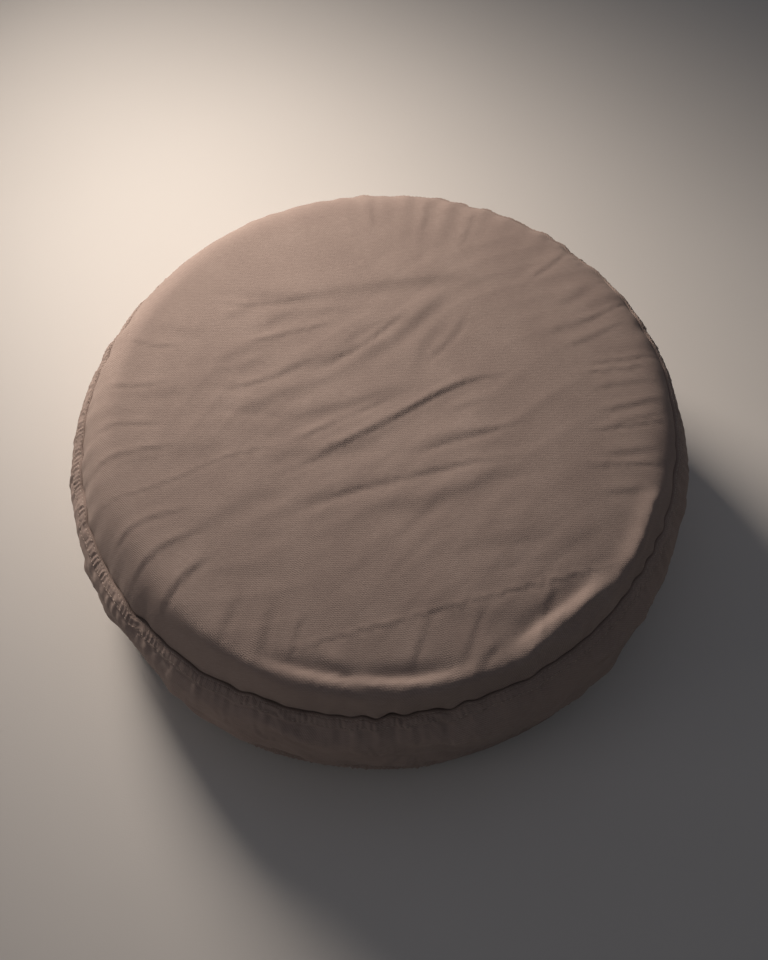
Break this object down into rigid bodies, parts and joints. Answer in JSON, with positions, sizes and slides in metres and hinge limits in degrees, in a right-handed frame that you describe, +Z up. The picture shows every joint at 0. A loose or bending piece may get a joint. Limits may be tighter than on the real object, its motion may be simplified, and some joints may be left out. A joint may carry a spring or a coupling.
{
  "type": "round floor cushion",
  "caption": "Round boxed floor cushion: a removable cotton cover, zipped at the back of its side band, over a wadded foam core in a sewn inner case.",
  "frame": {"origin": "centre of the flat base, on the surface that the cushion lies on", "axes": "+Z up through the crown, +Y towards the middle of the zip, -Y towards the plain front of the side"},
  "size_m": [0.45, 0.4509, 0.145],
  "materials": {
    "taupe_cotton": "matt plain weave, washed and creased",
    "taupe_thread": "matt spun thread",
    "white_muslin": "matt thin plain weave",
    "polyurethane_foam": "matt open cell foam",
    "polyester_wadding": "matt loose fibre",
    "zip_tape_polyester": "matt twill tape",
    "zip_coil_nylon": "satin monofilament",
    "zip_nickel": "nickel plated, satin",
    "label_satin": "blank woven satin"
  },
  "bodies": {
    "cushion": {"cover_top_panel": "taupe_cotton", "cover_front_band": "taupe_cotton", "cover_zip_strip_upper": "taupe_cotton", "cover_zip_strip_lower": "taupe_cotton", "cover_bottom_panel": "taupe_cotton", "top_seam_stitch_row_first": "taupe_thread", "top_seam_stitch_row_second": "taupe_thread", "bottom_seam_stitch_row_first": "taupe_thread", "bottom_seam_stitch_row_second": "taupe_thread", "zip_stitch_row_upper": "taupe_thread", "zip_stitch_row_lower": "taupe_thread", "zip_tape_upper": "zip_tape_polyester", "zip_tape_lower": "zip_tape_polyester", "zip_coil_upper": "zip_coil_nylon", "zip_coil_lower": "zip_coil_nylon", "zip_top_stop_upper": "zip_nickel", "zip_top_stop_lower": "zip_nickel", "zip_bottom_stop": "zip_nickel", "case_top_panel": "white_muslin", "case_side_band": "white_muslin", "case_bottom_panel": "white_muslin", "foam_core": "polyurethane_foam", "wadding_top": "polyester_wadding", "wadding_bottom": "polyester_wadding", "care_label": "label_satin"},
    "zip_slider": {"zip_slider_body": "zip_nickel"},
    "zip_pull": {"zip_pull_tab": "zip_nickel"}
  },
  "joints": [
    {"name": "zip_slider_travel", "type": "hinge", "parent": "cushion", "child": "zip_slider", "pos_m": [0, 0, 0.065], "axis": [0, 0, 1], "range_deg": [0, 140]},
    {"name": "zip_pull_swing", "type": "hinge", "parent": "zip_slider", "child": "zip_pull", "pos_m": [0.21311, 0.07757, 0.065], "axis": [0, 0, 1], "range_deg": [-180, 0]}
  ]
}
